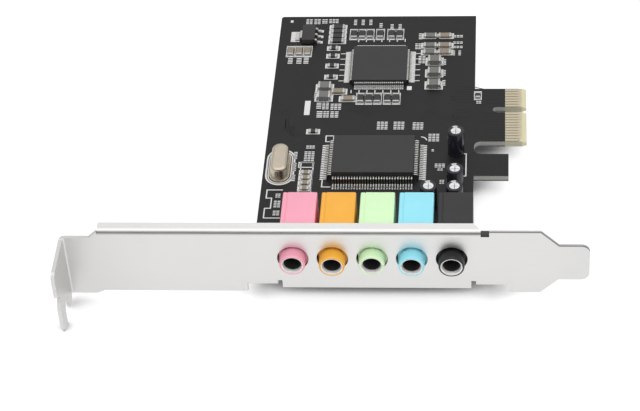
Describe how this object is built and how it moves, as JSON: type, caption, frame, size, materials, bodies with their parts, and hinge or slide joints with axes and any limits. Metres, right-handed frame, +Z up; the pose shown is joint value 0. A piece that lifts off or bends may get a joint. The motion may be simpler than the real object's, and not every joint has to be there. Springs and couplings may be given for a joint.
{
  "type": "sound card",
  "caption": "Computer sound card: circuit board with flat chips, a folded steel slot bracket and a row of coloured audio sockets, with a short gold edge connector.",
  "frame": {"origin": "middle of the card's box in X and Y, on the level of the bracket tab's lowest prong", "axes": "+X along the bracket from the screw tab to the tongue, +Y from the bracket to the far end of the board, +Z up from the board's component side"},
  "size_m": [0.12, 0.1108, 0.021],
  "materials": {
    "bracket_steel": "satin",
    "board_laminate": "semi-gloss",
    "gold_plating": "polished",
    "screw_steel": "plated",
    "pink_plastic": "satin",
    "orange_plastic": "satin",
    "green_plastic": "satin",
    "blue_plastic": "satin",
    "black_plastic": "satin",
    "bush_metal": "polished",
    "spring_metal": "satin",
    "chip_resin": "matte",
    "crystal_metal": "satin",
    "sleeve_film": "gloss",
    "resistor_glaze": "gloss",
    "capacitor_ceramic": "matte",
    "inductor_ferrite": "matte",
    "tinned_metal": "satin"
  },
  "bodies": {
    "root": {"audio_chip_body": "chip_resin", "audio_chip_leads": "tinned_metal", "black_jack_bush": "bush_metal", "black_jack_housing": "black_plastic", "black_jack_springs": "spring_metal", "blue_jack_bush": "bush_metal", "blue_jack_housing": "blue_plastic", "blue_jack_springs": "spring_metal", "board": "board_laminate", "bracket": "bracket_steel", "bracket_screws": "screw_steel", "bridge_chip_body": "chip_resin", "bridge_chip_leads": "tinned_metal", "capacitor_1_can": "sleeve_film", "capacitor_2_can": "sleeve_film", "capacitor_3_can": "sleeve_film", "capacitor_4_can": "sleeve_film", "capacitor_leads": "tinned_metal", "chip_capacitor_bodies": "capacitor_ceramic", "chip_capacitor_ends": "tinned_metal", "chip_inductor_bodies": "inductor_ferrite", "chip_inductor_ends": "tinned_metal", "chip_resistor_bodies": "resistor_glaze", "chip_resistor_ends": "tinned_metal", "crystal_can": "crystal_metal", "crystal_header": "crystal_metal", "crystal_leads": "tinned_metal", "edge_contacts": "gold_plating", "green_jack_bush": "bush_metal", "green_jack_housing": "green_plastic", "green_jack_springs": "spring_metal", "orange_jack_bush": "bush_metal", "orange_jack_housing": "orange_plastic", "orange_jack_springs": "spring_metal", "pink_jack_bush": "bush_metal", "pink_jack_housing": "pink_plastic", "pink_jack_springs": "spring_metal", "regulator_body": "chip_resin", "regulator_leads": "tinned_metal", "regulator_tab": "tinned_metal"}
  },
  "joints": []
}
